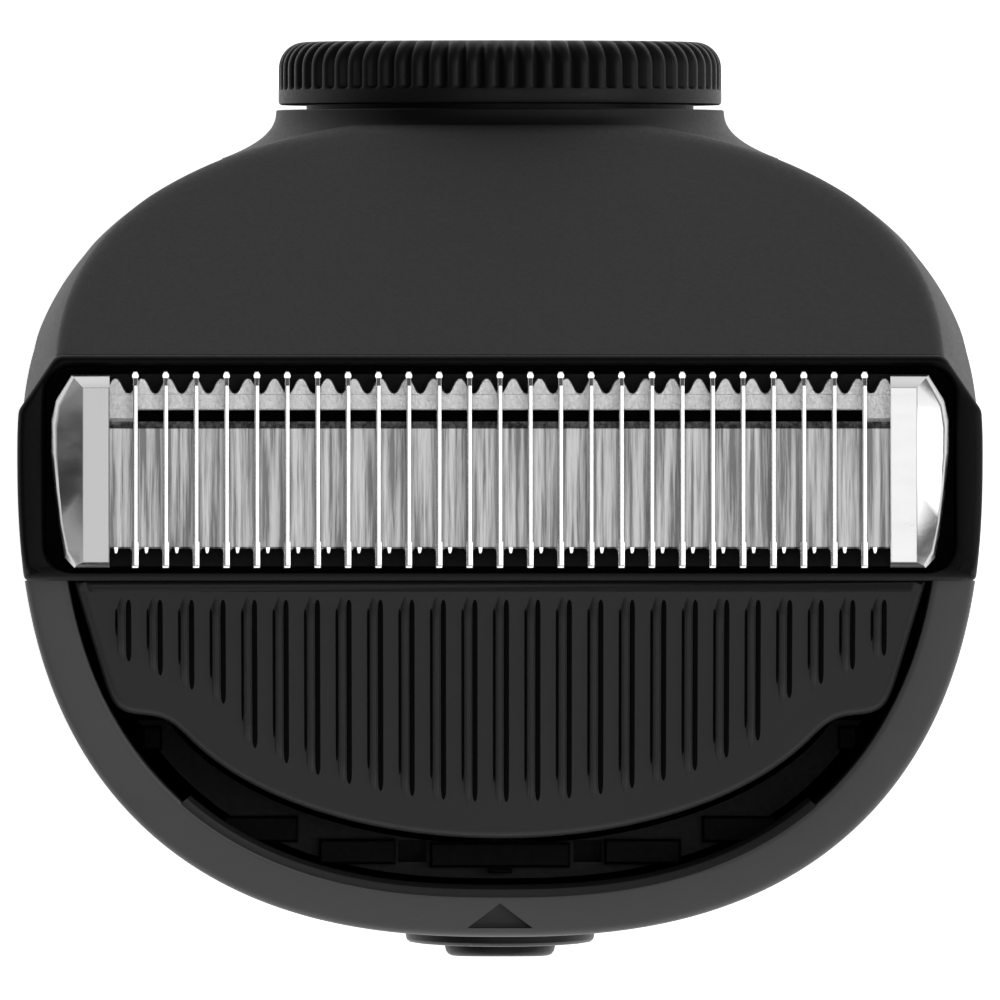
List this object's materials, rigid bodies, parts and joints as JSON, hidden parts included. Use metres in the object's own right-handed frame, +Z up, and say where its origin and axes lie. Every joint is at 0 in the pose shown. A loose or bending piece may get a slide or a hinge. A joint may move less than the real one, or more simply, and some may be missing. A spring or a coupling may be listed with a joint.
{
  "type": "body groomer",
  "caption": "Cordless body groomer standing on its base, with a finned fixed comb and moving cutter on top, a ribbed ramp, a length dial at the back, a power button and side grips.",
  "frame": {"origin": "middle of the base, on the surface that the groomer stands on", "axes": "+Z up along the handle to the cutting head, +X to the right seen from the power button's side, +Y to the back, where the length dial is"},
  "size_m": [0.0438, 0.0422, 0.16],
  "materials": {
    "comb_steel": "satin, edges ground bright",
    "cutter_steel": "ground, matt",
    "frame_plastic": "fine matt moulding",
    "guard_plastic": "satin moulding",
    "back_plastic": "satin moulding",
    "front_plastic": "satin moulding",
    "dial_plastic": "satin moulding with fine flutes",
    "button_plastic": "satin moulding",
    "black_plastic": "plain moulding",
    "nylon": "natural acetal",
    "screw_steel": "zinc plated",
    "spring_steel": "bright wire",
    "spring_bronze": "rolled strip",
    "seal_silicone": "matt silicone",
    "board_laminate": "solder mask over laminate",
    "cell_wrap": "shrink wrap",
    "contact_nickel": "nickel strip",
    "motor_can": "plated can",
    "lens": "frosted light pipe",
    "socket_shell": "nickel plated shell",
    "base_plastic": "satin moulding",
    "grip_rubber": "soft grip with fine grain"
  },
  "bodies": {
    "casing": {"head_frame": "frame_plastic", "ribbed_guard": "guard_plastic", "back_casing": "back_plastic", "front_casing": "front_plastic", "detent_spring": "spring_bronze", "button_bezel": "button_plastic", "button_seal": "seal_silicone", "tact_switch": "black_plastic", "circuit_board": "board_laminate", "battery": "cell_wrap", "battery_tray": "black_plastic", "battery_contacts": "contact_nickel", "motor": "motor_can", "lever_pin": "screw_steel", "chassis": "black_plastic", "status_light": "lens", "charging_socket": "socket_shell", "base_cap": "base_plastic", "base_screws": "screw_steel", "casing_screws": "screw_steel", "seal_ring": "seal_silicone", "grip_left": "grip_rubber", "grip_right": "grip_rubber"},
    "dial": {"length_dial": "dial_plastic", "dial_pinion": "nylon", "dial_screw": "screw_steel"},
    "carriage": {"comb_carriage": "black_plastic"},
    "button": {"power_button": "button_plastic", "switch_plunger": "nylon"},
    "rotor": {"motor_shaft": "screw_steel", "eccentric": "nylon"},
    "lever": {"drive_lever": "nylon"},
    "blade_unit": {"fixed_comb": "comb_steel", "blade_base": "black_plastic", "cutter_springs": "spring_steel"},
    "cutter": {"moving_cutter": "cutter_steel", "cutter_carrier": "black_plastic"}
  },
  "joints": [
    {"name": "dial_turn", "type": "hinge", "parent": "casing", "child": "dial", "pos_m": [0, 0.0194, 0.128], "axis": [0, -1, 0], "range_deg": [0, 300]},
    {"name": "carriage_slide", "type": "slide", "parent": "casing", "child": "carriage", "axis": [0, 0, 1], "range_m": [0, 0.01047]},
    {"name": "button_press", "type": "slide", "parent": "casing", "child": "button", "axis": [0, 1, 0], "range_m": [0, 0.0005], "stiffness_N_per_m": 1500},
    {"name": "motor_spin", "type": "hinge", "parent": "casing", "child": "rotor", "pos_m": [0, 0, 0.12], "axis": [0, 0, 1], "continuous": true},
    {"name": "lever_swing", "type": "hinge", "parent": "casing", "child": "lever", "pos_m": [0, 0, 0.138], "axis": [0, 1, 0], "range_deg": [-3.6, 3.6]},
    {"name": "blade_lift", "type": "slide", "parent": "casing", "child": "blade_unit", "axis": [0, 0, 1], "range_m": [0, 0.012]},
    {"name": "cutter_slide", "type": "slide", "parent": "blade_unit", "child": "cutter", "axis": [1, 0, 0], "range_m": [-0.001, 0.001]}
  ],
  "couplings": [
    {"joint": "dial_turn", "follows": "carriage_slide", "rad_per_m": 500},
    {"joint": "lever_swing", "follows": "cutter_slide", "rad_per_m": 62.5}
  ]
}
